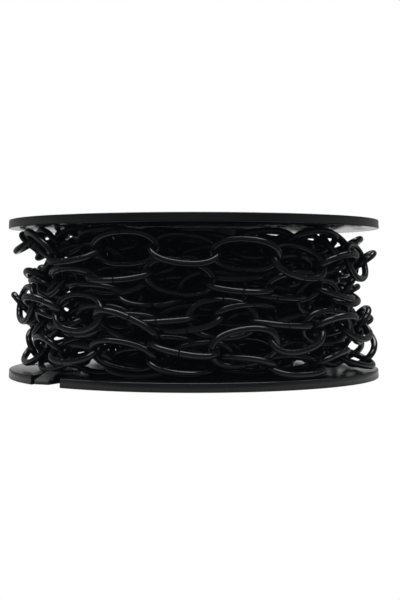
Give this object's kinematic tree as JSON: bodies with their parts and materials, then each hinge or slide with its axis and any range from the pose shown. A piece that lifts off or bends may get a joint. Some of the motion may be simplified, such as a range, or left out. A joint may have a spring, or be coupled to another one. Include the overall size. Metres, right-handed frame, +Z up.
{
  "type": "reel of decorative chain",
  "caption": "Flanged reel wound with oval-link decorative chain, its lower end tied by a flat strap through a notch in the lower flange.",
  "frame": {"origin": "on the floor under the middle of the lower flange", "axes": "+Z up along the reel's spindle hole, -Y to the front, +X to the right seen from the front"},
  "size_m": [0.235, 0.235, 0.0986],
  "materials": {
    "reel_plastic": "smooth moulded black plastic",
    "chain_coating": "satin black coated steel wire",
    "strap_plastic": "flat black plastic strap"
  },
  "bodies": {
    "root": {"top_flange": "reel_plastic", "bottom_flange": "reel_plastic", "barrel": "reel_plastic", "inner_chain": "chain_coating", "chain_strand_1": "chain_coating", "chain_strand_2": "chain_coating", "chain_strand_3": "chain_coating", "tie_strap": "strap_plastic"}
  },
  "joints": []
}
